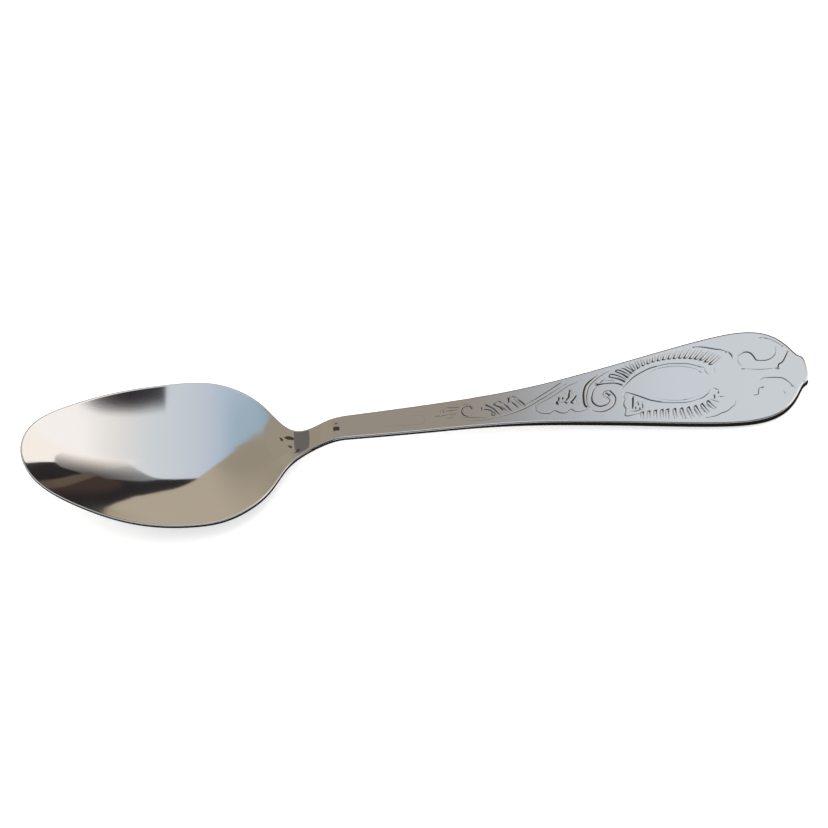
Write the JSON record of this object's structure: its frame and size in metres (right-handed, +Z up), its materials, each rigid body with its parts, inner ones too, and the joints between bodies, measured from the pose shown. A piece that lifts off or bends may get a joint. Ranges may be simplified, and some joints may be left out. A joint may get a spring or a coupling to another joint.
{
  "type": "baby spoon",
  "caption": "Small steel spoon with an egg-shaped bowl, a cranked neck and a flat flared handle that ends in two lobes and a small nose, for eating and stirring.",
  "frame": {"origin": "on the table, under the middle of the spoon's length, as it lies with its hollow upwards", "axes": "+X from the bowl's tip to the handle's end, +Z up out of the bowl, +Y across the spoon"},
  "size_m": [0.14, 0.0312, 0.0144],
  "materials": {
    "polished_steel": "polished, with stamped ornament on the handle's upper face"
  },
  "bodies": {
    "root": {"spoon": "polished_steel"}
  },
  "joints": []
}
